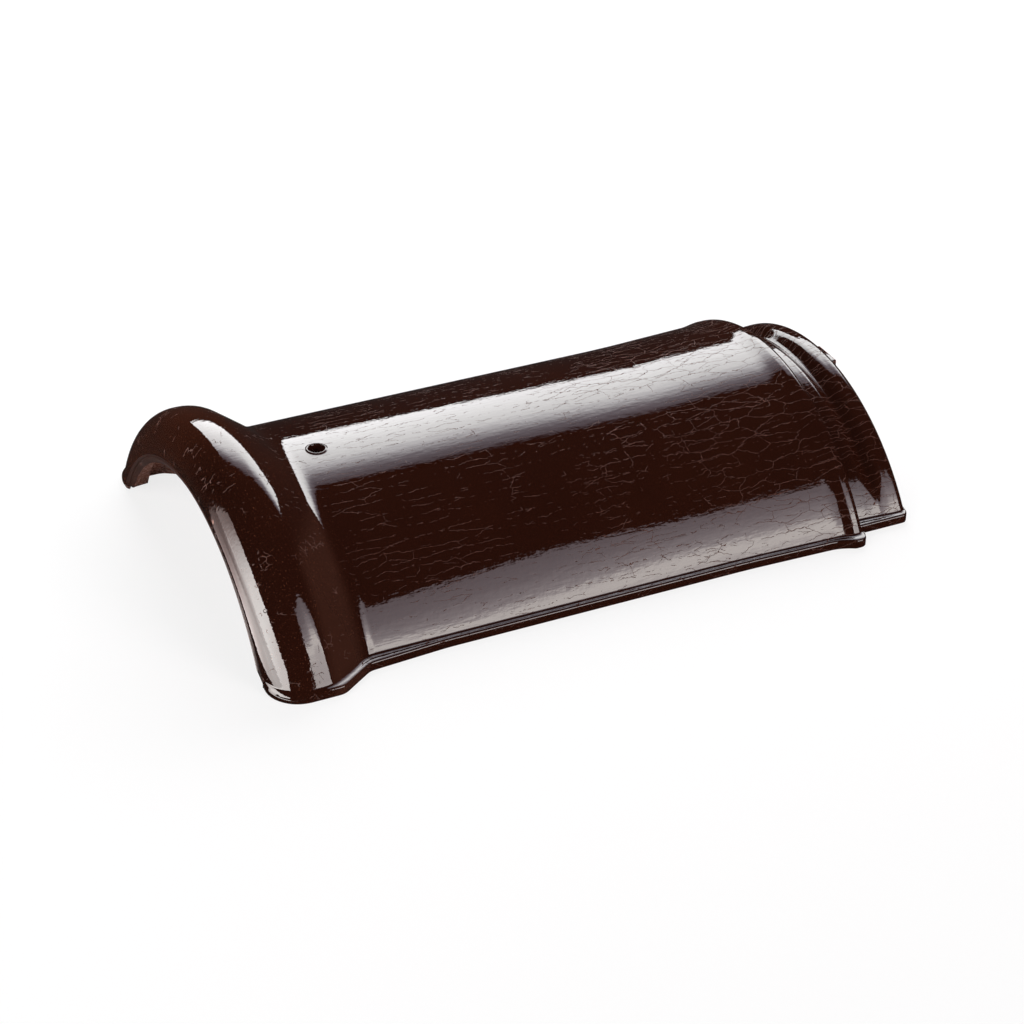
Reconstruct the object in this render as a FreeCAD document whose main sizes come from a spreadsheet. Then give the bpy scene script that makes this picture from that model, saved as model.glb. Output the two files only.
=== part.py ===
"""Glazed ridge tile: one fired clay piece, an arched cover with a rolled collar and a rimmed tail."""
import os
from math import atan2, hypot, pi, sqrt, tan

import FreeCAD
import Part
import Sketcher

# Sizes in mm. Lengths run from the collar's front lip, heights from the base, both at the crown.
SIZES = {
    "cover_length": 358.3,
    "tail_length": 34.2,
    "body_half_width": 115.0,
    "body_rise": 66.5,
    "wall": 12.0,
    "collar_crown_proud": 21.0,
    "collar_foot_proud": 16.3,
    "collar_wall": 14.5,
    "roll_front_radius": 19.5,
    "roll_back_radius": 22.0,
    "crest_width": 9.3,
    "ramp_end": 68.0,
    "ramp_drop": 30.0,
    "ramp_blend_radius": 18.0,
    "lip_crown_inset": 6.5,
    "lip_foot_inset": 8.5,
    "lip_edge": 2.0,
    "notch_width": 1.2,
    "notch_depth": 1.8,
    "mouth_depth": 13.6,
    "mouth_flare": 6.9,
    "flare_length": 73.5,
    "flare_height": 1.8,
    "bead_length": 8.0,
    "bead_height": 3.2,
    "bead_radius": 3.5,
    "tail_step": 7.0,
    "tail_wall": 11.0,
    "tail_taper": 32.0,
    "rim_length": 9.5,
    "rim_height": 1.4,
    "rim_radius": 4.0,
    "groove_depth": 5.5,
    "groove_width": 12.0,
    "groove_centre": 18.0,
    "groove_end_height": 11.0,
    "foot_height": 5.5,
    "foot_proud": 0.4,
    "foot_flare": 6.0,
    "foot_band": 6.0,
    "foot_corner_radius": 4.5,
    "tail_foot_inset": 6.0,
    "tail_foot_setback": 2.0,
    "hole_diameter": 8.5,
    "hole_edge_radius": 1.8,
    "hole_position": 75.6,
    "lug_width": 19.5,
    "lug_thickness": 6.0,
    "lug_inset": 8.0,
    "lug_reach": 7.2,
}


class Measure:
    """A length that keeps the formula it came from, so that a drawing can be tied to the sheet."""

    def __init__(self, value, text):
        self.value = value
        self.text = text

    def __add__(self, other):
        other = measure(other)
        return Measure(self.value + other.value, f"({self.text} + {other.text})")

    def __sub__(self, other):
        other = measure(other)
        return Measure(self.value - other.value, f"({self.text} - {other.text})")

    def __mul__(self, other):
        other = measure(other)
        return Measure(self.value * other.value, f"({self.text} * {other.text})")

    def __truediv__(self, other):
        other = measure(other)
        return Measure(self.value / other.value, f"({self.text} / {other.text})")

    def root(self):
        return Measure(sqrt(self.value), f"sqrt({self.text})")


def measure(number):
    if isinstance(number, Measure):
        return number
    return Measure(float(number), str(float(number)))


def size(name):
    return Measure(SIZES[name], f"Sizes.{name}")


def circle_below(half_width, rise):
    """Depth below the base of the centre of an arch that is so wide at the base and so high."""
    return (half_width * half_width - rise * rise) / (rise * 2)


doc = FreeCAD.newDocument("ridge_tile")
sheet = doc.addObject("Spreadsheet::Sheet", "Sizes")
for row, (name, value) in enumerate(SIZES.items(), start=1):
    sheet.set(f"A{row}", name)
    sheet.set(f"B{row}", str(value))
    sheet.setAlias(f"B{row}", name)
doc.recompute()

tile = doc.addObject("PartDesign::Body", "RidgeTile")
tile.Label = "ridge_tile"
planes = {feature.Role: feature for feature in tile.Origin.OriginFeatures}
length = size("cover_length") + size("tail_length")
front = (length + size("lug_reach")) / -2


def new_sketch(name, plane):
    """A sketch on an origin plane whose own origin lies at the collar's front lip, on the base."""
    sketch = tile.newObject("Sketcher::SketchObject", name)
    sketch.AttachmentSupport = [(planes[plane], "")]
    sketch.MapMode = "FlatFace"
    sketch.setExpression(".AttachmentOffset.Base.x", front.text)
    return sketch


def tie(sketch, kind, first, target):
    """One constraint, held to its formula."""
    index = sketch.addConstraint(Sketcher.Constraint(kind, *first, target.value))
    sketch.setExpression(f"Constraints[{index}]", target.text)


def place(sketch, geometry, end, x, y):
    """Holds a point at its distances from the sketch's origin."""
    for kind, axis, target in (("DistanceX", -2, x), ("DistanceY", -1, y)):
        if target.value == 0:
            sketch.addConstraint(Sketcher.Constraint("PointOnObject", geometry, end, axis))
        elif target.value > 0:
            tie(sketch, kind, (-1, 1, geometry, end), target)
        else:
            tie(sketch, kind, (geometry, end, -1, 1), measure(0) - target)


def draw(sketch, corners):
    """A closed outline of straight sides through the corners, each corner sharp or rounded to its radius."""
    corners = [(measure(x), measure(y), radius) for x, y, radius in corners]
    points = [FreeCAD.Vector(x.value, y.value, 0) for x, y, _ in corners]
    count = len(points)
    arrive, leave, arcs = [], [], {}
    for i, (_, _, radius) in enumerate(corners):
        back = (points[i - 1] - points[i]).normalize()
        ahead = (points[(i + 1) % count] - points[i]).normalize()
        reach = 0.0 if radius is None else radius.value / tan(back.getAngle(ahead) / 2)
        arrive.append(points[i] + back * reach)
        leave.append(points[i] + ahead * reach)
        if radius is not None:
            centre = points[i] + (back + ahead).normalize() * hypot(reach, radius.value)
            turn = (points[i] - points[i - 1]).cross(points[(i + 1) % count] - points[i]).z
            ends = (arrive[i], leave[i]) if turn > 0 else (leave[i], arrive[i])
            angles = [atan2((end - centre).y, (end - centre).x) for end in ends]
            if angles[1] < angles[0]:
                angles[1] += 2 * pi
            circle = Part.Circle(centre, FreeCAD.Vector(0, 0, 1), radius.value)
            arcs[i] = (Part.ArcOfCircle(circle, *angles), turn > 0)
    sides = [sketch.addGeometry(Part.LineSegment(leave[i], arrive[(i + 1) % count])) for i in range(count)]
    for i, (x, y, radius) in enumerate(corners):
        before, after = sides[i - 1], sides[i]
        if radius is None:
            sketch.addConstraint(Sketcher.Constraint("Coincident", before, 2, after, 1))
            place(sketch, after, 1, x, y)
            continue
        arc, forward = arcs[i]
        bend = sketch.addGeometry(arc)
        corner = sketch.addGeometry(Part.Point(points[i]), True)
        place(sketch, corner, 1, x, y)
        sketch.addConstraint(Sketcher.Constraint("PointOnObject", corner, 1, before))
        sketch.addConstraint(Sketcher.Constraint("PointOnObject", corner, 1, after))
        sketch.addConstraint(Sketcher.Constraint("Tangent", before, 2, bend, 1 if forward else 2))
        sketch.addConstraint(Sketcher.Constraint("Tangent", bend, 2 if forward else 1, after, 1))
        tie(sketch, "Radius", (bend,), radius)


def turned(kind, name, depth, outlines):
    """Outlines along the tile, swept round a level axis that lies so deep below the base."""
    sketch = new_sketch(f"{name}Outline", "XZ_Plane")
    axis = sketch.addGeometry(Part.LineSegment(FreeCAD.Vector(0, -depth.value, 0), FreeCAD.Vector(9, -depth.value, 0)), True)
    place(sketch, axis, 1, measure(0), measure(0) - depth)
    place(sketch, axis, 2, measure(9), measure(0) - depth)
    for corners in outlines:
        draw(sketch, corners)
    doc.recompute()
    feature = tile.newObject(f"PartDesign::{kind}", name)
    feature.Profile = sketch
    feature.ReferenceAxis = (sketch, ["Axis0"])
    feature.Midplane = True
    feature.Angle = 160
    sketch.Visibility = False
    doc.recompute()
    return feature


def rounded(name, edges, radius):
    """A rounded edge on the edges named."""
    before = tile.Tip
    feature = tile.newObject("PartDesign::Fillet", name)
    feature.Base = (before, edges)
    feature.setExpression("Radius", radius.text)
    doc.recompute()
    return feature


def edges_where(test):
    """Names of the edges of the tile so far whose every sampled point passes the test."""
    found = []
    for index, edge in enumerate(tile.Tip.Shape.Edges, start=1):
        if all(test(point) for point in edge.discretize(7)):
            found.append(f"Edge{index}")
    return found


# The collar: a fat roll round an axis of its own, higher than the body's, its front a quarter round.
cover, rise = size("cover_length"), size("body_rise")
axis_depth = circle_below(size("body_half_width"), rise)
collar_rise = rise + size("collar_crown_proud")
collar_half = size("body_half_width") + size("collar_foot_proud")
collar_depth = circle_below(collar_half, collar_rise)
lip = rise - size("lip_crown_inset")
core = lip / 3
crest = size("roll_front_radius")
ramp_start = crest + size("crest_width")
turned("Revolution", "Collar", collar_depth, [[
    (0, core, None),
    (size("ramp_end"), core, None),
    (size("ramp_end"), collar_rise, None),
    (0, collar_rise, crest),
]])

# The collar's back: a ramp turned round the body's axis, so that it meets the body all at one place.
ramp_slope = size("ramp_drop") / (size("ramp_end") - ramp_start)
ramp_low = collar_rise - size("ramp_drop")
ramp_high = collar_rise + ramp_start * ramp_slope
turned("Groove", "Ramp", axis_depth, [[
    (0, ramp_high, None),
    (size("ramp_end"), ramp_low, None),
    (size("ramp_end") * 1.2, ramp_low, None),
    (size("ramp_end") * 1.2, ramp_high, None),
]])

# The arch: crown heights along the length, turned round the axis of the body's own circle.
under_collar = crest * 1.5
land = rise - size("tail_step")
bead = size("bead_length")
bead_top = rise + size("bead_height")
flare_start = cover - size("flare_length")
rim_top = land + size("rim_height")
turned("Revolution", "Arch", axis_depth, [[
    (under_collar, core, None),
    (length, core, None),
    (length, rim_top, size("rim_radius")),
    (length - size("rim_length"), rim_top, size("rim_radius") * 1.5),
    (cover + size("rim_height"), land, None),
    (cover, land, None),
    (cover, bead_top, size("bead_radius")),
    (cover - bead * 0.75, bead_top, size("bead_radius")),
    (cover - bead * 1.75, rise + size("flare_height"), size("bead_radius") * 8),
    (flare_start, rise, size("flare_length") * 12),
    (under_collar, rise, None),
]])

# The base: the arch is cut off level.
base = tile.newObject("PartDesign::SubtractiveBox", "Base")
base.setExpression("Length", f"{length.text} * 2")
base.setExpression("Width", f"{collar_half.text} * 4")
base.setExpression("Height", f"{collar_half.text} * 2")
base.setExpression(".Placement.Base.x", f"-1 * {length.text}")
base.setExpression(".Placement.Base.y", f"-{collar_half.text} * 2")
base.setExpression(".Placement.Base.z", f"-{collar_half.text} * 2")
doc.recompute()


def past_roll(point):
    return crest.value + 1 < point.x - front.value < size("ramp_end").value


def on_crest(point):
    off_crest = hypot(point.y, point.z + collar_depth.value) - collar_depth.value - collar_rise.value
    return abs(off_crest) < 0.05 and past_roll(point)


def on_body(point):
    off_body = hypot(point.y, point.z + axis_depth.value) - axis_depth.value - rise.value
    return abs(off_body) < 0.05 and past_roll(point)


rounded("CollarCrest", edges_where(on_crest), size("roll_back_radius"))
rounded("CollarBlend", edges_where(on_body), size("ramp_blend_radius"))

# The hollow: the lip with its notch, the flared mouth, the wall and the thicker tail.
lip_half = size("body_half_width") - size("lip_foot_inset")
lip_end = size("lip_edge")
notch_end = lip_end + size("notch_width")
mouth = size("mouth_depth")
inside = rise - size("wall")
tail_inside = land - size("tail_wall")
past = size("lug_reach") * 2
turned("Groove", "Hollow", circle_below(lip_half, lip), [[
    (past / -1, core / 4, None),
    (length + past, core / 4, None),
    (length + past, tail_inside, None),
    (cover, tail_inside, size("tail_taper") / 2),
    (cover - size("tail_taper"), inside, size("tail_taper") / 2),
    (mouth + 1, inside, None),
    (mouth, lip + size("mouth_flare"), None),
    (notch_end, lip + size("notch_depth") / 4, None),
    (notch_end, lip + size("notch_depth"), None),
    (lip_end, lip + size("notch_depth"), None),
    (lip_end, lip, None),
    (past / -1, lip, None),
]])

# Under the collar: the recess behind the mouth, whose back follows the ramp, so that the roll is hollow.
roof = collar_rise - size("collar_wall")
recess_back = ramp_start - size("collar_wall") / 3
turned("Groove", "CollarRecess", collar_depth, [[
    (mouth - 0.6, core * 1.5, None),
    (recess_back + (roof - core * 1.5) / ramp_slope, core * 1.5, None),
    (recess_back, roof, size("collar_wall") / 2),
    (mouth - 0.6, roof, size("collar_wall") / 8),
]])

# The feet: an upright band along each base edge, standing a little proud of the arch.
foot_flare, foot_band, corner = size("foot_flare"), size("foot_band"), size("foot_corner_radius")
foot = size("body_half_width") + size("foot_proud")
collar_foot = collar_half + size("foot_proud")
tail_foot = size("body_half_width") - size("tail_foot_inset")
tail_foot_end = length - size("tail_foot_setback")
roll_end = ramp_start * 1.28
ramp_foot = size("ramp_end") * 0.83
feet = new_sketch("FeetOutline", "XY_Plane")
for side in (-1, 1):
    draw(feet, [
        (size("foot_proud"), (collar_foot - crest) * side, None),
        (size("foot_proud"), collar_foot * side, crest * 0.95),
        (roll_end, collar_foot * side, corner * 2),
        (ramp_foot, (foot + foot_flare / 2) * side, corner * 2),
        (size("ramp_end") * 1.5, foot * side, size("flare_length") * 2),
        (flare_start, foot * side, size("flare_length") * 5),
        (cover - bead * 2, (foot + foot_flare / 3) * side, corner * 6),
        (cover - bead, (foot + foot_flare) * side, corner / 4),
        (cover - size("foot_proud"), (foot + foot_flare) * side, corner),
        (cover - size("foot_proud"), (foot - foot_band) * side, None),
        (ramp_foot, (foot - foot_band) * side, None),
        (roll_end, (collar_foot - foot_band) * side, None),
        (crest, (collar_foot - foot_band) * side, None),
    ])
    draw(feet, [
        (cover - 2, (tail_foot - size("foot_proud")) * side, None),
        (tail_foot_end, tail_foot * side, size("rim_radius")),
        (tail_foot_end, (tail_foot - foot_band) * side, None),
        (cover - 2, (tail_foot - foot_band) * side, None),
    ])
doc.recompute()
band = tile.newObject("PartDesign::Pad", "Feet")
band.Profile = feet
band.setExpression("Length", size("foot_height").text)
feet.Visibility = False
doc.recompute()

# The tail's groove: a V turned round a still lower axis, deepest at the crown and run out at the sides.
groove_top = land - size("groove_depth")
end_height = size("groove_end_height")
land_radius, end_reach = land + axis_depth, end_height + axis_depth
end_half = (land_radius * land_radius - end_reach * end_reach).root()
groove_axis = (end_half * end_half + end_height * end_height - groove_top * groove_top) / (groove_top - end_height) / 2
groove_x = cover + size("groove_centre")
turned("Groove", "TailGroove", groove_axis, [[
    (groove_x, groove_top, size("groove_depth") / 4),
    (groove_x + size("groove_width"), groove_top + size("groove_depth") * 2, None),
    (groove_x - size("groove_width"), groove_top + size("groove_depth") * 2, None),
]])

# The fixing hole at the crown, with the rounded edge that the glaze leaves.
hole_x = front + size("hole_position")
hole = tile.newObject("PartDesign::SubtractiveCylinder", "FixingHole")
hole.setExpression("Radius", f"{size('hole_diameter').text} / 2")
hole.setExpression("Height", f"{rise.text} * 2")
hole.setExpression(".Placement.Base.x", hole_x.text)
doc.recompute()


def hole_mouth(point):
    reach = hypot(point.x - hole_x.value, point.y)
    return abs(reach - size("hole_diameter").value / 2) < 0.05 and point.z > (inside.value + rise.value) / 2


rounded("HoleEdge", edges_where(hole_mouth), size("hole_edge_radius"))

# The small lug at the crown of the tail's end.
lug = tile.newObject("PartDesign::AdditiveBox", "Lug")
lug.setExpression("Length", f"{size('lug_reach').text} + {size('tail_wall').text}")
lug.setExpression("Width", size("lug_width").text)
lug.setExpression("Height", size("lug_thickness").text)
lug.setExpression(".Placement.Base.x", f"{front.text} + {length.text} - {size('tail_wall').text}")
lug.setExpression(".Placement.Base.y", f"-{size('lug_width').text} / 2")
lug_low = land - size("lug_inset") - size("lug_thickness")
lug.setExpression(".Placement.Base.z", lug_low.text)
doc.recompute()

for item in doc.Objects:
    if "Invalid" in item.State or "Error" in item.State:
        raise RuntimeError(f"{item.Label} did not build: {item.State}")
shape = tile.Shape
if shape.isNull() or not shape.isValid() or len(shape.Solids) != 1:
    raise RuntimeError("the tile is not one sound solid")
os.makedirs("parts", exist_ok=True)
shape.exportStep(f"parts/{tile.Label}.step")
box = shape.optimalBoundingBox(False)
print(f"{tile.Label}: {box.XLength:.1f} x {box.YLength:.1f} x {box.ZLength:.1f} mm, {shape.Volume / 1000:.0f} cm3")
print(f"box x {box.XMin:.2f} to {box.XMax:.2f}, y {box.YMin:.2f} to {box.YMax:.2f}, z {box.ZMin:.2f} to {box.ZMax:.2f}")
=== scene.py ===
# %% [markdown]
# # A glazed ridge tile
#
# A ridge tile is one pressed and fired piece of clay that covers the top edge of a roof.
# Its outside carries a thick, glossy, dark brown glaze; its inside is bare red clay.
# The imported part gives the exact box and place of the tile, so it is loaded first and never moved.

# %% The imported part
from math import acos, atan2, ceil, cos, hypot, radians, sin, sqrt, tan

import bmesh
import bpy
import numpy as np
from mathutils import Matrix, Vector


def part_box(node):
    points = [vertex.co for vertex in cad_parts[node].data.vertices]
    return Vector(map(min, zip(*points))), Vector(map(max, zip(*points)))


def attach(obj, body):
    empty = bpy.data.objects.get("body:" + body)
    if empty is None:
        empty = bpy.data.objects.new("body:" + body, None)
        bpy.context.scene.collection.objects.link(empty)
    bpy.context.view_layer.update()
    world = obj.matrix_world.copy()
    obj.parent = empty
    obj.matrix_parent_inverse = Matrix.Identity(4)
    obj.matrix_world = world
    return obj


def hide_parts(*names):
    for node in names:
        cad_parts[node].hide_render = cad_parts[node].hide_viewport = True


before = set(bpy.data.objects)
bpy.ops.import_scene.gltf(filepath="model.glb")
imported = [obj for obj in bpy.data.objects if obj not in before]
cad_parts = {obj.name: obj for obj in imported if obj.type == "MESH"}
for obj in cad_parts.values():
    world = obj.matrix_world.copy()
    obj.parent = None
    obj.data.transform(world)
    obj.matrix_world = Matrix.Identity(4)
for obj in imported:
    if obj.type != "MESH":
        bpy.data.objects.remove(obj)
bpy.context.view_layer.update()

tile_low, tile_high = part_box("ridge_tile")
print("packed tile from", tuple(tile_low), "to", tuple(tile_high))

# %% [markdown]
# ## The tile's outlines
#
# Seen from the side, the tile is one closed outline: the lip, the fat rolled collar, the ramp down
# to the body, the long crown, the bead, the stepped tail with its rim, and back along the inside.
# An outline could be traced point by point, but corners with a rounding radius say more with less,
# so each corner holds its distance from the lip, its height, its radius and the spacing of the ribs
# up to the next corner, all in millimetres. What several corners share has a name first.

# %% Heights and lengths
MM = 0.001
collar_rise = tile_high.z / MM
body_rise = collar_rise - 21.0
land_rise = body_rise - 7.0
lip_rise = body_rise - 6.5
inside_rise = body_rise - 12.0
tail_inside = land_rise - 11.0
bead_rise = body_rise + 3.2
rim_rise = land_rise + 1.4
recess_rise, recess_step, lip_under, lip_notch = 73.0, 66.7, 60.5, 61.8

cover_length = 358.3
tail_end = 392.5
flare_at = 284.8
groove_at = cover_length + 18.0
groove_reach = 10.0
hole_at, hole_patch = 75.6, 7.0
roll_radius, bead_radius, rim_radius = 19.5, 3.5, 4.0
roll_start = collar_rise - roll_radius
print("collar", round(collar_rise, 1), "mm high, body", round(body_rise, 1), "mm, cover", cover_length, "mm")

# %% [markdown]
# ## The corners
#
# The outside runs from the lip to the tail's end and the inside comes back. The small corners at the
# start are the lip's chamfer and the fine crease that the press leaves above it. Behind the lip the
# inside opens into the recess that takes the next tile's tail. A radius of 0 keeps a corner as it is.

# %% Corners of the side outline
outer_corners = [
    (1.3, lip_rise, 0.0, 0.6),
    (0.0, lip_rise + 2.6, 0.5, 0.3),
    (0.0, lip_rise + 3.2, 0.1, 0.3),
    (0.8, lip_rise + 3.9, 0.2, 0.3),
    (0.0, lip_rise + 4.6, 0.1, 0.9),
    (0.0, collar_rise, roll_radius, 1.5),
    (28.8, collar_rise, 22.0, 1.5),
    (56.24, body_rise, 18.0, 1.5),
    (hole_at - hole_patch, body_rise, 0.0, 1.75),
    (hole_at + hole_patch, body_rise, 0.0, 2.4),
    (flare_at, body_rise, 882.0, 2.4),
    (344.3, body_rise + 1.8, 28.0, 1.2),
    (352.3, bead_rise, bead_radius, 0.8),
    (cover_length, bead_rise, bead_radius, 1.4),
    (cover_length, land_rise, 0.8, 1.4),
    (groove_at - groove_reach, land_rise + 0.2, 0.0, 0.75),
    (383.0, rim_rise, 6.0, 0.8),
    (tail_end, rim_rise, rim_radius, 1.5),
]
inner_corners = [
    (tail_end, tail_inside, 1.5, 4.0),
    (cover_length, tail_inside, 16.0, 4.0),
    (cover_length - 32.0, inside_rise, 16.0, 6.0),
    (hole_at + hole_patch, inside_rise, 0.0, 1.75),
    (hole_at - hole_patch, inside_rise, 0.0, 4.0),
    (48.1, inside_rise, 6.0, 2.0),
    (24.0, recess_rise, 7.2, 2.0),
    (13.0, recess_rise, 1.8, 2.0),
    (13.2, recess_step, 0.5, 2.0),
    (3.2, lip_under, 0.4, 0.8),
    (3.2, lip_notch, 0.3, 0.8),
    (2.0, lip_notch, 0.3, 0.8),
    (2.0, lip_rise, 0.5, 1.0),
]
print(len(outer_corners), "corners outside and", len(inner_corners), "inside")

# %% [markdown]
# ## From corners to points
#
# A corner with a radius becomes an arc that touches both sides; a straight run becomes evenly
# spaced points. Both follow from the corners alone, so changing a corner moves all that hangs on it.

# %% Rounding the corners
ARC_TURN = radians(9)
ARC_SPACING = 1.7
SLACK, NEAR = 0.01, 0.1


def rounded(corners, closed):
    """Points along an outline whose corners are rounded, as (distance, height) pairs."""
    count = len(corners)
    arcs = []
    for i, (x, z, radius, _) in enumerate(corners):
        here = Vector((x, z))
        ends = not closed and i in (0, count - 1)
        if radius == 0 or ends:
            arcs.append([here])
            continue
        before = (Vector(corners[i - 1][:2]) - here).normalized()
        ahead = (Vector(corners[(i + 1) % count][:2]) - here).normalized()
        reach = radius / tan(before.angle(ahead) / 2)
        centre = here + (before + ahead).normalized() * hypot(reach, radius)
        first, last = here + before * reach - centre, here + ahead * reach - centre
        sweep = atan2(first.cross(last), first.dot(last))
        spacing = corners[i - 1][3] * ARC_SPACING
        steps = max(ceil(abs(sweep) / ARC_TURN), ceil(abs(sweep) * radius / spacing))
        arcs.append([centre + Matrix.Rotation(sweep * k / steps, 2) @ first for k in range(steps + 1)])
    line = []
    for i, arc in enumerate(arcs):
        line += arc
        if i == count - 1 and not closed:
            break
        start, end = arc[-1], arcs[(i + 1) % count][0]
        parts = ceil((end - start).length / corners[i][3] - SLACK)
        line += [start.lerp(end, k / parts) for k in range(1, parts)]
    return [(p.x, p.y) for p in line]


outline = rounded(outer_corners + inner_corners, closed=True)
face_top = rim_rise - rim_radius - NEAR
end_face = [i for i, (x, z) in enumerate(outline) if x > tail_end - SLACK and z < face_top]
last_outer = min(end_face)
print(len(outline), "points round the side outline, of which", last_outer, "outside")

# %% [markdown]
# ## Three circles
#
# Seen from the end, the body, the collar and the lip are arcs of three circles, each so wide at the
# base and so high at the crown. The width and the height fix how far below the base a circle's centre
# lies. The collar is the widest part, and the foot band below it stands just proud of it.

# %% The circles' centres
BAND_PROUD = 0.4
band_half = tile_high.y / MM
body_half, collar_half, lip_half = 115.0, band_half - BAND_PROUD, 106.5


def circle_below(half_width, rise):
    """Depth below the base of the centre of an arch so wide at the base and so high."""
    return (half_width ** 2 - rise ** 2) / (2 * rise)


body_axis = circle_below(body_half, body_rise)
collar_axis = circle_below(collar_half, collar_rise)
lip_axis = circle_below(lip_half, lip_rise)
body_radius = body_rise + body_axis
print("centres below the base:", [round(axis, 1) for axis in (body_axis, collar_axis, lip_axis)], "mm")

# %% [markdown]
# ## Spinning the outline
#
# The arch is the outline swept across the ridge. Drawn by hand, that is one vertex extruded from
# point to point, joined up into a loop and spun down one side; a mirror makes the other side later.
# A plane merged to its centre leaves the single vertex that the drawing starts from.

# %% Drawing and spinning
FRONT = tile_low.x
STEPS = 96
SWEEP = radians(60)


def mode(name):
    """Goes to object mode or edit mode."""
    bpy.ops.object.mode_set(mode=name)


def let_go():
    """Deselects every object, because an operator acts on all that is selected."""
    bpy.ops.object.select_all(action="DESELECT")


let_go()
bpy.ops.mesh.primitive_plane_add(size=MM, location=(FRONT + outline[0][0] * MM, 0, outline[0][1] * MM))
tile = bpy.context.object
tile.name = "glazed_tile"
bpy.ops.object.transform_apply(location=True)
mode("EDIT")
bpy.ops.mesh.select_mode(type="VERT")
bpy.ops.mesh.select_all(action="SELECT")
bpy.ops.mesh.merge(type="CENTER")
for (x, crown), (next_x, next_crown) in zip(outline, outline[1:]):
    step = ((next_x - x) * MM, 0, (next_crown - crown) * MM)
    bpy.ops.mesh.extrude_region_move(TRANSFORM_OT_translate={"value": step})
bpy.ops.mesh.select_all(action="SELECT")
loop = bmesh.from_edit_mesh(tile.data)
for point in loop.verts:
    point.select_set(len(point.link_edges) == 1)
loop.select_flush(False)
bpy.ops.mesh.edge_face_add()
bpy.ops.mesh.select_all(action="SELECT")
bpy.ops.mesh.spin(steps=STEPS, angle=SWEEP, center=(0, 0, -body_axis * MM), axis=(-1, 0, 0))
mode("OBJECT")
print(len(tile.data.vertices), "points after the spin, in rows of", len(outline))

# %% [markdown]
# ## The foot band
#
# The arch ends in an upright band that the tile stands on. Seen from above, the band has a line of its
# own: it rounds the collar's corners, draws in along the ramp, runs straight along the body and swells
# at the bead. It is one more outline with rounded corners, here as distance along the tile and distance
# off the middle. At the lip, on the bead's end face and on the tail it follows the rib instead.

# %% The foot band in plan
band_roll = 18.5
bead_half, bead_corner = body_half + 6.4, 4.5
bead_face = cover_length - BAND_PROUD
bead_foot = bead_half - bead_corner
band_corners = [
    (0.0, lip_half, 0.0, 2.0),
    (0.0, band_half, band_roll, 1.0),
    (36.9, band_half, 9.0, 1.0),
    (56.4, body_half + 3.4, 9.0, 1.0),
    (102.0, body_half + BAND_PROUD, 147.0, 4.0),
    (flare_at, body_half + BAND_PROUD, 367.0, 4.0),
    (342.3, body_half + 2.4, 27.0, 2.0),
    (350.3, bead_half, 1.1, 0.5),
    (bead_face, bead_half, bead_corner, 0.5),
    (bead_face, bead_foot, 0.0, 1.0),
]
band_x, band_y = np.array(rounded(band_corners, closed=False)).T
tail_foot, tail_foot_end = body_half - 6.0, tail_end - 2.0
foot_turn, foot_turn_share = (tail_foot_end - 4, tail_foot_end - 1.2, tail_foot_end), (1, 0.75, 0)
lip_depth, before_face, past_face = 1.5, 0.05, 0.3


def band_line(x, crown):
    """How far from the middle the upright foot band stands below a rib."""
    if x < lip_depth and crown < roll_start + NEAR:
        return np.interp(crown, (lip_rise, roll_start), (lip_half, band_half - band_roll))
    if x < cover_length - before_face:
        return np.interp(x, band_x, band_y)
    if x < cover_length + past_face:
        return np.interp(crown, (land_rise, bead_rise - bead_radius), (tail_foot, bead_foot))
    own = sqrt((crown + body_axis) ** 2 - body_axis ** 2)
    share = np.interp(x, foot_turn, foot_turn_share)
    return own + (tail_foot - own) * share


print("foot band from", round(min(band_y), 1), "to", round(max(band_y), 1), "mm off the middle")

# %% [markdown]
# ## How the ribs differ
#
# After the spin every rib is an arc round the body's centre. On the real tile the collar's ribs are arcs
# of the wider circle, which runs over smoothly into the body's circle along the ramp, because a sudden
# change would show as a kink in the gloss. The tail's groove is a V with a soft bottom that stays deep
# over the crown and runs out towards the sides, and the lip's flat front is dished a little. Each of
# these is a small formula.

# %% Circle, groove and lip of a rib
turnover_at, turnover_length = 21.0, 33.0
lip_back, recess_from, recess_to, recess_end = 3.0, 13.0, 24.0, 48.0
groove_depth, groove_slope, groove_lift, groove_soft = 5.5, 11 / 12, 0.6, 1.0
groove_turn, groove_end, groove_loss, groove_bottom = radians(44), radians(52), 0.9, 0.8
LIP_DISH = 0.15


def rib_axis(x, outside):
    """Depth of a rib's centre: the collar's own circle runs over into the body's along the ramp."""
    if outside:
        share = np.clip((x - turnover_at) / turnover_length, 0, 1)
        return collar_axis + (body_axis - collar_axis) * share * share * (3 - 2 * share)
    places = (lip_back, recess_from, recess_to, recess_end)
    return np.interp(x, places, (lip_axis, collar_axis, collar_axis, lip_axis))


def groove_dent(x, angle):
    """Depth of the tail's groove, deepest at the crown and run out at the sides."""
    depths = (groove_depth, groove_depth - groove_loss, -groove_lift)
    deep = np.interp(angle, (0, groove_turn, groove_end), depths)
    inside = deep - groove_slope * hypot(x - groove_at, groove_bottom) + groove_lift
    return (inside + hypot(inside, groove_soft)) / 2


def lip_dish(x, crown):
    """The lip's flat front is dished a little between its two edges."""
    share = np.clip((crown - lip_rise) / (roll_start - lip_rise), 0, 1)
    return LIP_DISH * 4 * share * (1 - share) if x < SLACK else 0.0


print("groove", groove_depth, "mm deep,", groove_at - cover_length, "mm behind the bead")

# %% [markdown]
# ## Fairing the ribs
#
# Scaling by hand can't give a different circle to each rib, so each rib is set as a whole: its arc down
# to the foot, then the rounded section of the ledge and the band. A row of that section says how far it
# goes over from the arc to the band, its distance out from the arc's end and in from the band, and its
# height. At the collar's front corners the ledge slumps, as soft clay does, and slopes off to the floor.

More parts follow.
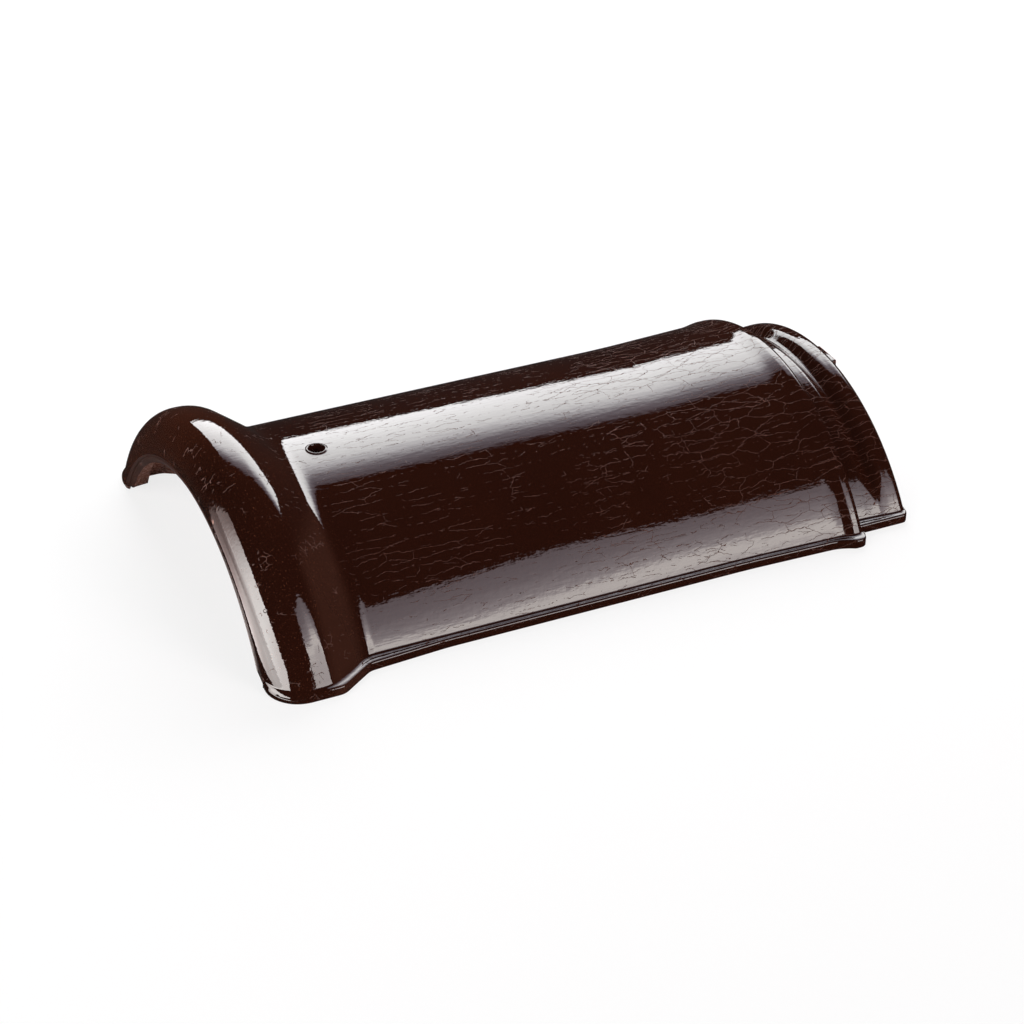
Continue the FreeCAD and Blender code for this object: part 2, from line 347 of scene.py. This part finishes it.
# %% Setting the ribs
ARC = 86
ARC_FOOT = 6.3
foot_section = [
    (0.0, 0.30, 0.0, 5.85),
    (0.0, 0.85, 0.0, 5.60),
    (0.5, 1.0, 0.4, 5.52),
    (1.0, 0.0, 1.1, 5.45),
    (1.0, 0.0, 0.55, 5.28),
    (1.0, 0.0, 0.18, 4.90),
    (1.0, 0.0, 0.0, 4.30),
    (1.0, 0.0, 0.0, 1.6),
    (1.0, 0.0, 0.0, 0.5),
    (1.0, 0.0, 0.45, 0.0),
]
ledge_low, slump_deep, slump_from, slump_to = 4.0, 2.4, 10, 26


def rib(x, crown, outside):
    """Places along one rib from the crown to the base, as (off the middle, height) pairs."""
    axis = rib_axis(x, outside)
    reach = crown + axis
    steps, low = (ARC, ARC_FOOT) if outside else (STEPS, 0)
    fall = acos((low + axis) / reach)
    grooved = outside and abs(x - groove_at) < groove_reach
    places = []
    for k in range(steps + 1):
        angle = fall * k / steps
        radius = reach - groove_dent(x, angle) if grooved else reach
        places.append((radius * sin(angle), radius * cos(angle) - axis))
    if outside:
        arc_end, band = places[-1][0], band_line(x, crown)
        slump = np.interp(x, (slump_from, slump_to), (slump_deep, 0))
        for share, out, back, height in foot_section:
            across = (1 - share) * (arc_end + out) + share * (band - back)
            drop = slump * share if height > ledge_low else 0
            places.append((min(across, band), height - drop))
    return places


grid = np.zeros((STEPS + 1, len(outline), 3))
for i, (x, crown) in enumerate(outline):
    grid[:, i, 0] = FRONT / MM + x + lip_dish(x, crown)
    grid[:, i, 1:] = rib(x, crown, i < last_outer)
spun = np.zeros(grid.size)
tile.data.vertices.foreach_get("co", spun)
drift = abs(spun.reshape(grid.shape)[:, :, 0] - grid[:, :, 0] * MM).max()
tile.data.vertices.foreach_set("co", (grid * MM).ravel())
tile.data.update()
print(f"ribs set, their places along the tile within {drift * 1e6:.0f} micrometres of the spin")

# %% [markdown]
# ## Base and mirror
#
# The half skin is open at the crown and along the base. Filling the base loop makes the bare sole that
# the tile stands on, and a Mirror modifier adds the other half and welds the two along the crown.

# %% Closing the base and mirroring
base_height, weld = 0.05 * MM, 0.01 * MM


def pick(cells, test):
    """Selects just those edges or faces that pass the test."""
    bpy.ops.mesh.select_all(action="DESELECT")
    for cell in cells:
        cell.select_set(test(cell))


mode("EDIT")
bpy.ops.mesh.select_mode(type="EDGE")
skin = bmesh.from_edit_mesh(tile.data)
pick(skin.edges, lambda e: e.is_boundary and max(v.co.z for v in e.verts) < base_height)
bpy.ops.mesh.edge_face_add()
bpy.ops.mesh.quads_convert_to_tris()
mode("OBJECT")
mirror = tile.modifiers.new("other_side", "MIRROR")
mirror.use_axis = (False, True, False)
mirror.merge_threshold = weld
bpy.ops.object.modifier_apply(modifier=mirror.name)
mode("EDIT")
bpy.ops.mesh.select_all(action="SELECT")
bpy.ops.mesh.normals_make_consistent(inside=False)
mode("OBJECT")
print(len(tile.data.polygons), "faces on both sides")

# %% [markdown]
# ## The fixing hole
#
# A nail or screw holds the tile through one hole at the crown. The glaze pulls back from it and leaves
# a raised, rounded rim. The rim and the bore are one tube, extruded and scaled from a circle ring by
# ring, each ring with its radius and its height above the crown. The tube is then let down at its sides
# to follow the arch.

# %% The rimmed tube
HOLE_POINTS = 36
hole_x = FRONT + hole_at * MM
hole_rings = [
    (6.65, 0.0), (6.25, 0.05), (5.85, 0.30), (5.5, 0.52), (5.1, 0.58), (4.75, 0.40),
    (4.5, 0.0), (4.35, -0.8), (4.25, -2.0), (4.25, -6.0), (4.25, -11.9),
]
first_radius, first_height = hole_rings[0]
let_go()
bpy.ops.mesh.primitive_circle_add(vertices=HOLE_POINTS, radius=first_radius * MM,
                                  location=(hole_x, 0, (body_rise + first_height) * MM))
tube = bpy.context.object
mode("EDIT")
bpy.ops.mesh.select_all(action="SELECT")
for (radius, height), (next_radius, next_height) in zip(hole_rings, hole_rings[1:]):
    step = (0, 0, (next_height - height) * MM)
    bpy.ops.mesh.extrude_region_move(TRANSFORM_OT_translate={"value": step})
    ratio = next_radius / radius
    bpy.ops.transform.resize(value=(ratio, ratio, 1), center_override=(hole_x, 0, 0))
mode("OBJECT")
bpy.ops.object.transform_apply(location=True)
for vertex in tube.data.vertices:
    vertex.co.z -= body_radius * MM - sqrt((body_radius * MM) ** 2 - vertex.co.y ** 2)
print("tube of", len(hole_rings), "rings for a hole of", 2 * hole_rings[-1][0], "mm")

# %% [markdown]
# ## Weaving the hole in
#
# A boolean cut would leave slivers that show in the gloss, so the hole is woven in: a square patch of
# faces is taken out of the outer and of the inner skin, and the tube's two ends are bridged to the two
# square openings. A skin is told by its height at the crown, and has half the width of its opening.

# %% Opening and bridging the skins
skins, near_skin = [(body_rise, 7.0), (inside_rise, 6.0)], 5.0


def take_tile():
    """Makes the tile the one selected and active object."""
    let_go()
    tile.select_set(True)
    bpy.context.view_layer.objects.active = tile


def in_patch(face, rise, half_width):
    """Whether a face lies in the square patch round the hole, on the skin at that height."""
    x, y, z = face.calc_center_median() / MM
    return abs(x - hole_x / MM) < hole_patch and abs(y) < half_width and abs(z - rise) < near_skin


take_tile()
mode("EDIT")
bpy.ops.mesh.select_mode(type="FACE")
for rise, half_width in skins:
    skin = bmesh.from_edit_mesh(tile.data)
    pick(skin.faces, lambda face: in_patch(face, rise, half_width))
    bpy.ops.mesh.delete(type="FACE")
mode("OBJECT")
tube.select_set(True)
bpy.ops.object.join()
mode("EDIT")
bpy.ops.mesh.select_mode(type="EDGE")
for rise, _ in skins:
    skin = bmesh.from_edit_mesh(tile.data)
    pick(skin.edges, lambda e: e.is_boundary and abs(e.verts[0].co.z / MM - rise) < near_skin)
    print(sum(e.select for e in skin.edges), "open edges to bridge")
    bpy.ops.mesh.bridge_edge_loops()
bpy.ops.mesh.select_all(action="SELECT")
bpy.ops.mesh.normals_make_consistent(inside=False)
skin = bmesh.from_edit_mesh(tile.data)
print(sum(e.is_boundary for e in skin.edges), "open edges left")
mode("OBJECT")

# %% [markdown]
# ## The lug at the tail
#
# A small tongue of clay juts from the tail's end at the crown. It is pressed in one with the tile, so a
# bevelled block is joined to it by a union. The tile is then shaded smooth, apart from its sharp edges.

# %% The lug
lug_reach, lug_wide, lug_thick, lug_drop, lug_root = 7.2, 19.5, 6.0, 6.3, 9.0
lug_edge, sharp_edge = 0.9, radians(38)
lug_x = FRONT + (tail_end + (lug_reach - lug_root) / 2) * MM
lug_z = (land_rise - lug_drop - lug_thick / 2) * MM
lug_size = ((lug_reach + lug_root) * MM, lug_wide * MM, lug_thick * MM)
let_go()
bpy.ops.mesh.primitive_cube_add(size=1, location=(lug_x, 0, lug_z), scale=lug_size)
lug = bpy.context.object
bpy.ops.object.transform_apply(location=True, scale=True)
mode("EDIT")
bpy.ops.mesh.select_all(action="SELECT")
bpy.ops.mesh.bevel(offset=lug_edge * MM, segments=3, affect="EDGES")
mode("OBJECT")
take_tile()
joint = tile.modifiers.new("lug", "BOOLEAN")
joint.operation, joint.solver, joint.object = "UNION", "EXACT", lug
bpy.ops.object.modifier_apply(modifier=joint.name)
bpy.data.objects.remove(lug)
bpy.ops.object.shade_smooth_by_angle(angle=sharp_edge)
print("tile with its lug:", len(tile.data.polygons), "faces")

# %% [markdown]
# ## Shader sums written as Python
#
# A glaze needs many small sums of textures. Adding each Math node by hand hides the idea, so a small
# class wraps a socket: adding or multiplying two of them adds the node.

# %% Sockets that add up
class Signal:
    """A number, colour or vector that varies over the surface."""

    def __init__(self, recipe, node, output=0):
        self.recipe, self.node = recipe, node
        self.socket = node.outputs[output] if node.outputs else None

    def part(self, output):
        """Another output of the same node."""
        return Signal(self.recipe, self.node, output)

    def maths(self, operation, first, second=0.0):
        """A Math node on two numbers or signals."""
        return self.recipe.add("ShaderNodeMath", {"operation": operation}, {0: first, 1: second})

    def __add__(self, other):
        return self.maths("ADD", self, other)

    def __radd__(self, other):
        return self.maths("ADD", other, self)

    def __sub__(self, other):
        return self.maths("SUBTRACT", self, other)

    def __rsub__(self, other):
        return self.maths("SUBTRACT", other, self)

    def __mul__(self, other):
        return self.maths("MULTIPLY", self, other)

    def __rmul__(self, other):
        return self.maths("MULTIPLY", other, self)

    def __truediv__(self, other):
        return self.maths("DIVIDE", self, other)

    def largest(self, other):
        return self.maths("MAXIMUM", self, other)

    def length_with(self, other):
        """The long side of a right triangle that has these two as its short sides."""
        return self.maths("SQRT", self * self + other * other)

    def turn_from(self, other):
        """The angle whose tangent is this over the other."""
        return self.maths("ARCTAN2", self, other)

    def rise(self, low, high):
        """0 below low, 1 above high, and a smooth rise between; low above high makes it fall."""
        settings = {"interpolation_type": "SMOOTHSTEP"}
        sockets = {"Value": self, "From Min": low, "From Max": high}
        return self.recipe.add("ShaderNodeMapRange", settings, sockets)


print("sockets add up")

# %% [markdown]
# ## One method for all nodes
#
# A recipe holds the nodes of one material, or of the world. Every node goes through its one method,
# which takes the node's type, its settings and the values or links of its sockets. Noise, colour
# mixing and vector sums are used so often that they get a short form.

# %% Recipes
MIX_SHARE, MIX_FIRST, MIX_SECOND, MIX_RESULT = 0, 6, 7, 2


class Recipe:
    """One material, or the world, and the nodes in it."""

    def __init__(self, name, shelf=bpy.data.materials):
        self.material = shelf.new(name)
        self.material.use_nodes = True
        self.tree = self.material.node_tree
        self.tree.nodes.clear()

    def add(self, kind, settings=None, sockets=None, output=0):
        """Adds a node; settings are its own, sockets are values or signals that go in."""
        node = self.tree.nodes.new(kind)
        for name, value in (settings or {}).items():
            if name == "stops":
                ramp = node.color_ramp.elements
                while len(ramp) < len(value):
                    ramp.new(1.0)
                for element, (position, colour) in zip(ramp, value):
                    element.position, element.color = position, (*colour, 1.0)
            else:
                setattr(node, name, value)
        for name, value in (sockets or {}).items():
            if isinstance(value, Signal):
                self.tree.links.new(value.socket, node.inputs[name])
            else:
                node.inputs[name].default_value = value
        return Signal(self, node, output)

    def noise(self, place, per_metre, detail=2.0, rough=0.5, output=0):
        """Noise with so many waves to the metre."""
        sockets = {"Vector": place, "Scale": per_metre, "Detail": detail, "Roughness": rough}
        return self.add("ShaderNodeTexNoise", {}, sockets, output)

    def blend(self, share, first, second):
        """A colour between two, by a share from 0 to 1."""
        sockets = {MIX_SHARE: share, MIX_FIRST: first, MIX_SECOND: second}
        return self.add("ShaderNodeMix", {"data_type": "RGBA"}, sockets, MIX_RESULT)

    def vector(self, operation, first, second=(0, 0, 0), third=(0, 0, 0), output="Vector"):
        sockets = {0: first, 1: second, 2: third}
        return self.add("ShaderNodeVectorMath", {"operation": operation}, sockets, output)

    def finish(self, surface, kind="ShaderNodeOutputMaterial"):
        """Links the surface to the output and hands over the material."""
        self.add(kind, {}, {"Surface": surface})
        return self.material


print("recipes ready")

# %% [markdown]
# ## Where the glaze lies
#
# The tile is dipped or sprayed from above, so the glaze coats what faces outwards and runs a little over
# the lip's edge. Under the arch, on the sole and at the broken end of the lug the clay is bare. Painting
# a mask by hand would work too, but the direction of a face seen from the body's centre says the same,
# and some noise makes the glaze's edge ragged. The lip's lower band is glazed thinly and is duller.

# %% Coated and bare
lip_ragged, lip_run, lip_full = 0.8, 2.6, 2.2
lug_ragged, lug_coat_end, lug_bare = 1.2, tail_end + 6.3, tail_end + 6.9
under_ragged, under_bare, under_full = 0.35, -0.32, -0.22
thin_top, thin_full, thin_back, thin_front = 4.2, 3.4, 2.4, 1.8
glaze = Recipe("glazed_clay")
where = glaze.add("ShaderNodeTexCoord", {}, {}, "Object")
place_parts = glaze.add("ShaderNodeSeparateXYZ", {}, {"Vector": where})
along, off_side, height = (place_parts.part(axis) for axis in "XYZ")
facing = glaze.add("ShaderNodeSeparateXYZ", {}, {"Vector": where.part("Normal")})


def from_lip(millimetres):
    """A place along the tile, measured from the lip."""
    return FRONT + millimetres * MM


depth = height + body_axis * MM
outward = (off_side * facing.part("Y") + depth * facing.part("Z")) / off_side.length_with(depth)
ragged = glaze.noise(where, 260.0, 3.0)
lip_edge = (along + (ragged - 0.5) * lip_ragged * MM).rise(from_lip(lip_run), from_lip(lip_full))
lug_end = (along + (ragged - 0.5) * lug_ragged * MM).rise(from_lip(lug_coat_end), from_lip(lug_bare))
coated = (outward + (ragged - 0.5) * under_ragged).rise(under_bare, under_full)
coated = coated.largest(lip_edge) * (1 - lug_end)

lip_circle = off_side.length_with(height + lip_axis * MM)
lip_bottom = lip_rise + lip_axis
lip_band = lip_circle.rise((lip_bottom + thin_top) * MM, (lip_bottom + thin_full) * MM)
lip_band = lip_band * along.rise(from_lip(thin_back), from_lip(thin_front))
print("coat and bare clay told apart with", len(glaze.tree.nodes), "nodes")

# %% [markdown]
# ## The crackle
#
# In cooling, the glaze crazed: a net of fine cracks, stretched along the tile and denser towards the
# tail, finer long cracks all along it, and small squiggles on the collar. A Voronoi texture gives such a
# net, but its distance to an edge is stretched with the net, which makes the cross cracks fat. So the
# two nearest cell centres are taken instead, and the distance to the line halfway between them is
# measured in real millimetres. The surface is unrolled first, so that the net runs round the arch.

# %% Distance to a crack
wander_reach = (0.008, 0.006, 0)
turned = off_side.turn_from(depth) * (body_radius * MM)
unrolled = glaze.add("ShaderNodeCombineXYZ", {}, {"X": along, "Y": turned})
wander = glaze.noise(where, 120.0, 4.0, 0.6, "Color")
bent = glaze.vector("MULTIPLY_ADD", wander, wander_reach, unrolled)


def craze(stretch, per_metre):
    """How far a place lies from the nearest crack of a net that is stretched along the tile."""
    place = glaze.vector("MULTIPLY", bent, (stretch, 1, 0))
    centres = []
    for feature in ("F1", "F2"):
        settings = {"voronoi_dimensions": "2D", "feature": feature}
        sockets = {"Vector": place, "Scale": per_metre}
        centres.append(glaze.add("ShaderNodeTexVoronoi", settings, sockets, "Position"))
    near, next_near = centres
    apart = glaze.vector("SUBTRACT", next_near, near)
    middle = glaze.vector("MULTIPLY_ADD", apart, (0.5, 0.5, 0.5), near)
    off_edge = glaze.vector("DOT_PRODUCT", glaze.vector("SUBTRACT", middle, place), apart, output="Value")
    unstretched = glaze.vector("MULTIPLY", apart, (stretch, 1, 0))
    return off_edge / glaze.vector("LENGTH", unstretched, output="Value")


print("cracks measured on a sheet", round(2 * acos(body_axis / body_radius) * body_radius), "mm across")

# %% [markdown]
# ## Cracks, specks and marks
#
# Each net shows only in patches, and its lines are broken here and there. A crack is a fine line of paler
# dust with a dull shoulder on both sides, so one distance gives two masks, a narrow one and a wider one.
# The collar also has specks from handling, a chip at its lip and a pit in its front. Places along the
# tile are in metres from its middle here.

# %% Lines, specks and spots
crack_edge, crack_core = 0.11 * MM, 0.03 * MM
dull_edge, dull_core = 0.16 * MM, 0.07 * MM
sparse_end, dense_end, ramp_foot, ramp_head = -0.08, 0.15, -0.125, -0.165
collar_specks, other_specks, spot_core = 0.55, 0.12, 0.6
patchy = glaze.noise(where, 38.0)
broken = glaze.noise(where, 260.0)
tailward = along.rise(sparse_end, dense_end)
collar_share = along.rise(ramp_foot, ramp_head)
net_share = (patchy * 0.9 + broken * 0.8 + tailward * 0.40).rise(0.99, 1.22)
long_share = (patchy * 0.6 + broken * 0.7 - collar_share * 0.12).rise(0.61, 0.78)
squiggle_share = collar_share * (glaze.noise(where, 75.0) + broken * 0.3).rise(0.76, 0.86)
nets = [
    (craze(0.36, 140.0), net_share),
    (craze(0.15, 190.0), long_share),
    (craze(0.90, 250.0), squiggle_share),
]


def lines(edge, core):
    """All the nets' lines as one mask, as wide as asked."""
    masks = [off_crack.rise(edge, core) * share for off_crack, share in nets]
    return masks[0].largest(masks[1]).largest(masks[2])


def spot(place, wide):
    """1 on a small mark at a place on the tile, given in millimetres, and 0 elsewhere."""
    middle = tuple(c * MM for c in place)
    off = glaze.vector("DISTANCE", where, middle, output="Value") + (ragged - 0.5) * wide * MM
    return off.rise(wide * MM, wide * MM * spot_core)


cracks, dulled = lines(crack_edge, crack_core), lines(dull_edge, dull_core)
specks = glaze.noise(where, 1250.0, 1.0).rise(0.66, 0.78) * (collar_share * collar_specks + other_specks)
chip, pit = spot((-199.7, -42.2, 63.2), 1.5), spot((-193.4, -99.0, 40.3), 1.1)
coated = coated * (1 - chip)
print(len(nets), "nets of cracks, specks, a chip and a pit")

# %% [markdown]
# ## Colours
#
# The glaze is a thick dark brown glass, a little redder on the collar and paler low on the ramp.
# Towards the collar's far side it is made much redder and lighter: that is painted light, where more
# light falls on that side. The bare clay is a mottled brick red, paler where the firing bleached it.

# %% Brown glaze and red clay
dark_brown, red_brown = (0.0218, 0.0052, 0.0026, 1), (0.052, 0.0128, 0.0052, 1)
ramp_brown = (0.048, 0.0165, 0.0100, 1)
crack_colour, speck_colour = (0.160, 0.050, 0.030, 1), (0.13, 0.045, 0.022, 1)
brick_red, pale_red = (0.24, 0.072, 0.040, 1), (0.60, 0.35, 0.28, 1)
paler_from, paler_to, paler_under = (-0.172, -0.164), (-0.141, -0.150), (0.066, 0.054)
crack_dust = 0.62
thin = glaze.noise(where, 14.0, 3.0)
# Share of red brown: random tone, a little more on the collar, and painted light on the collar's far side
redness_and_painted_light = (thin - 0.5) * 0.9 + collar_share * (off_side.rise(-0.05, 0.07) * 0.60 + 0.06) + 0.06
# Paler brown low down on the ramp
low_ramp = along.rise(*paler_from) * along.rise(*paler_to) * height.rise(*paler_under)
glaze_colour = glaze.blend(redness_and_painted_light.rise(0.0, 1.0), dark_brown, red_brown)
glaze_colour = glaze.blend(low_ramp * (thin * 0.8 + 0.45), glaze_colour, ramp_brown)
glaze_colour = glaze.blend(specks, glaze_colour, speck_colour)
glaze_colour = glaze.blend(cracks * crack_dust, glaze_colour, crack_colour)
clay_tone = glaze.noise(where, 820.0, 4.0, 0.65)
clay_colour = glaze.blend(clay_tone.rise(0.38, 0.66), brick_red, pale_red)
colour = glaze.blend(coated, clay_colour, glaze_colour)
print("glaze and clay coloured")

# %% [markdown]
# ## Gloss and relief
#
# The glaze is almost a mirror. Cracks break it, so a crack shows dark in a highlight and light in the
# shade; the dull shoulder in the roughness gives both. The glass also has the faint waves of an orange
# peel and of the brush or spray along the tile, which make the edges of the highlights uneven. Their
# heights are in millimetres.

# %% Finishing the tile
glaze_index, mirror_rough, clay_rough = 1.52, 0.012, 0.85
smear_rough, dull_rough, speck_rough, band_rough = 0.025, 0.8, 0.2, 0.4
peel_height, brush_height, clay_height, crack_depth, pit_depth = 0.026, 0.045, 0.10, 0.008, 0.5
brush_stretch = (0.2, 1.0, 1.0)
smear = glaze.noise(where, 30.0, 3.0)
glaze_rough = mirror_rough + smear * smear_rough + dulled.rise(0.06, 0.45) * dull_rough
glaze_rough = glaze_rough + specks * speck_rough + lip_band * band_rough
roughness = glaze_rough * coated + (1 - coated) * clay_rough

brushed = glaze.add("ShaderNodeMapping", {}, {"Vector": where, "Scale": brush_stretch})
waves = glaze.noise(where, 150.0) * peel_height + glaze.noise(where, 320.0) * peel_height
waves = waves + glaze.noise(brushed, 480.0, 3.0) * brush_height
relief = (waves - cracks * crack_depth - pit * pit_depth) * coated
relief = relief + clay_tone * clay_height * (1 - coated)
bump = glaze.add("ShaderNodeBump", {}, {"Strength": 1.0, "Distance": MM, "Height": relief})
surface = glaze.add("ShaderNodeBsdfPrincipled", {}, {
    "Base Color": colour, "Roughness": roughness, "Normal": bump, "IOR": glaze_index})
tile.data.materials.clear()
tile.data.materials.append(glaze.finish(surface))
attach(tile, "root")
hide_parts("ridge_tile")
print("glaze made of", len(glaze.tree.nodes), "nodes")

# %% [markdown]
# ## The floor
#
# The floor is plain and pale and keeps the tile's shadow. Seen directly it is mostly its own even white,
# so that it fades into the background; the light on it adds the shadow.

# %% Pale floor
WHITE, PAPER_WHITE = (1, 1, 1, 1), (0.9, 0.9, 0.9, 1)
floor_size, floor_drop, even_share, even_white = 14, 0.05 * MM, 0.75, 1.06
let_go()
bpy.ops.mesh.primitive_plane_add(size=floor_size, location=(0, 0, -floor_drop))
floor = bpy.context.object
floor.name = "pale_floor"
paper = Recipe("pale_paper")
path = paper.add("ShaderNodeLightPath", {}, {}, "Is Camera Ray")
seen = path.largest(path.part("Is Glossy Ray")).largest(path.part("Is Transmission Ray")) * even_share
matt = paper.add("ShaderNodeBsdfDiffuse", {}, {"Color": PAPER_WHITE})
even = paper.add("ShaderNodeEmission", {}, {"Color": WHITE, "Strength": even_white})
floor.data.materials.append(paper.finish(paper.add("ShaderNodeMixShader", {}, {0: seen, 1: matt, 2: even})))
print("floor of", tuple(floor.dimensions))

# %% [markdown]
# ## Softboxes
#
# Gloss is only as good as what it mirrors. Two large softboxes stand to the right of the tile, one
# behind and one in front, and their images are the two long streaks on the body. An area lamp is evenly
# bright, but these cloths are lit from one side and dim and change tint towards the other, so each is a
# mesh between two rails with its own glow: pairs of a share of the way from rail to rail and a brightness.

# %% Two softboxes
COOL_DIM = (0.84, 0.76, 1.0)


def softbox(name, first_rail, last_rail, glow, tint=(1, 1, 1), dim_tint=COOL_DIM):
    """A lit cloth between two rails; glow gives its brightness from the first rail to the last."""
    let_go()
    bpy.ops.mesh.primitive_grid_add(x_subdivisions=len(first_rail) - 1, y_subdivisions=1, size=1)
    cloth = bpy.context.object
    cloth.name = name
    for vertex, corner in zip(cloth.data.vertices, first_rail + last_rail):
        vertex.co = corner
    light = Recipe(name)
    place = light.add("ShaderNodeTexCoord", {}, {}, "UV")
    up = light.add("ShaderNodeSeparateXYZ", {}, {"Vector": place}, "Y")
    brightest = max(level for _, level in glow)
    stops = []
    for position, level in glow:
        share = level / brightest
        stops.append((position, [share * t * (d + (1 - d) * sqrt(share)) for t, d in zip(tint, dim_tint)]))
    ramp = light.add("ShaderNodeValToRGB", {"stops": stops}, {"Fac": up})
    shine = light.add("ShaderNodeEmission", {}, {"Color": ramp, "Strength": brightest})
    cloth.data.materials.append(light.finish(shine))
    cloth.visible_camera = False
    return cloth


softbox("back_softbox",
        [(-0.17, 1.24, 0.42), (0.20, 1.14, 0.37), (0.50, 1.06, 0.475), (0.80, 0.94, 0.53),
         (1.15, 0.78, 0.53)],
        [(-0.22, 0.72, 1.06), (0.246, 0.481, 1.078), (0.50, 0.44, 1.05), (0.80, 0.40, 1.02),
         (1.134, 0.343, 0.978)],
        [(0.0, 6.6), (0.3, 7.6), (0.55, 7.6), (0.66, 5.8), (0.80, 1.9), (0.90, 1.1), (0.93, 0.9),
         (0.94, 0.0), (1.0, 0.0)])
softbox("front_softbox",
        [(0.87, -2.6, 2.75), (1.5, -2.124, 3.104), (2.75, -2.347, 2.537)],
        [(0.87, -3.4, 0.6), (1.5, -3.27, 0.575), (2.70, -3.04, 0.53)],
        [(0.0, 1.9), (0.21, 2.6), (0.28, 3.3), (0.345, 3.9), (0.41, 5.0), (0.475, 8.8), (0.54, 9.5),
         (0.61, 7.5), (1.0, 6.4)],
        tint=(1.0, 0.93, 0.89))
print("two softboxes hung")

# %% [markdown]
# ## What the gloss alone sees
#
# At the left, a lit wall with a cloth at its foot makes the light streak on the collar's front. Between
# the streaks the photograph's glaze mirrors a dark studio, so a dark card lies over the pale floor. All
# three are seen by the gloss alone: they give no light to the matt clay and throw no shadow.

# %% Side wall, side cloth and dark card
WARM, WARM_DIM = (1.0, 0.96, 0.93), (1.0, 0.72, 0.70)
card_size, card_lift, card_glow = 16, 0.3 * MM, 0.02


def only_for_gloss(piece):
    """Hides a piece from all but the gloss."""
    piece.visible_camera = False
    piece.visible_diffuse = False
    piece.visible_shadow = False


only_for_gloss(softbox(
    "side_wall",
    [(-1.4, 0.97, 0.001), (-1.4, 0.575, 0.77)],
    [(-1.4, -1.2, 0.001), (-1.4, -1.2, 0.40)],
    [(0.0, 2.2), (0.08, 2.7), (0.12, 3.8), (0.35, 12.6), (0.5, 14.6), (0.64, 13.2), (0.75, 12.2),
     (1.0, 12.0)],
    tint=WARM, dim_tint=WARM_DIM))
only_for_gloss(softbox(
    "side_cloth",
    [(-0.222, 0.037, 0.001), (-0.30, 0.10, 0.001), (-1.4, 0.96, 0.001)],
    [(-0.222, -1.2, 0.001), (-0.31, -1.2, 0.001), (-1.4, -1.2, 0.001)],
    [(0.0, 0.8), (0.03, 1.4), (0.05, 2.6), (0.08, 5.6), (0.115, 6.8), (0.14, 8.5), (0.21, 8.5),
     (0.5, 10.5), (1.0, 10.5)],
    tint=WARM, dim_tint=WARM_DIM))
let_go()
bpy.ops.mesh.primitive_plane_add(size=card_size, location=(0, 0, card_lift))
dark_card = bpy.context.object
dark_card.name = "dark_card"
card = Recipe("dark_card")
felt = card.add("ShaderNodeEmission", {}, {"Color": WHITE, "Strength": card_glow})
dark_card.data.materials.append(card.finish(felt))
only_for_gloss(dark_card)
print("a side wall, a side cloth and a dark card")

# %% [markdown]
# ## Fill light and room
#
# A soft fill lamp from the left brings out the brown of the glaze and the clay under the arch. It is
# hidden from the gloss, which would show it as a square. The room is dim for all but the camera, which
# sees it white, so that low views have a pale background too.

# %% Fill lamp and dim room
fill_from, fill_axis, fill_size, fill_power = (-1.3, -0.5, 0.9), (-1.1, -0.5, 0.85), 1.0, 12.0
room_glow = 0.02
bpy.ops.object.light_add(type="AREA", location=fill_from)
fill = bpy.context.object
fill.data.size, fill.data.energy = fill_size, fill_power
fill.rotation_euler = Vector(fill_axis).to_track_quat("Z", "Y").to_euler()
fill.visible_glossy = False

room = Recipe("dim_room", bpy.data.worlds)
camera_ray = room.add("ShaderNodeLightPath", {}, {}, "Is Camera Ray")
dim = room.add("ShaderNodeBackground", {}, {"Color": WHITE, "Strength": room_glow})
pale = room.add("ShaderNodeBackground", {}, {"Color": WHITE, "Strength": 1.0})
seen_room = room.add("ShaderNodeMixShader", {}, {0: camera_ray, 1: dim, 2: pale})
bpy.context.scene.world = room.finish(seen_room, "ShaderNodeOutputWorld")
print("a fill lamp of", fill_power, "watts and a dim room")

# %% [markdown]
# ## The camera
#
# A long lens from the front left and above, as in the photograph. Its place, its three angles and its
# focal length, in points of a picture that is 1024 points wide, were fitted to the tile's outline there.

# %% Camera
aim, tip, roll = radians(-25.8497), radians(32.0270), radians(0.8237)
camera_place = (-0.60470, -1.23678, 0.85501)
picture_width, focal_points, sensor_width, far_limit = 1024, 2830.58, 36.0, 50.0
back = Vector((sin(aim) * cos(tip), -cos(aim) * cos(tip), sin(tip)))
right = Vector((cos(aim), sin(aim), 0))
up = back.cross(right)
side = cos(roll) * right + sin(roll) * up
top = cos(roll) * up - sin(roll) * right
bpy.ops.object.camera_add()
camera = bpy.context.object
camera.matrix_world = Matrix((side, top, back)).transposed().to_4x4()
camera.location = camera_place
camera.data.sensor_width = sensor_width
camera.data.lens = focal_points * sensor_width / picture_width
camera.data.clip_end = far_limit
bpy.context.scene.camera = camera
bpy.context.scene.view_settings.view_transform = "Standard"
print("camera", tuple(round(c, 3) for c in camera.location), "lens", round(camera.data.lens, 1))
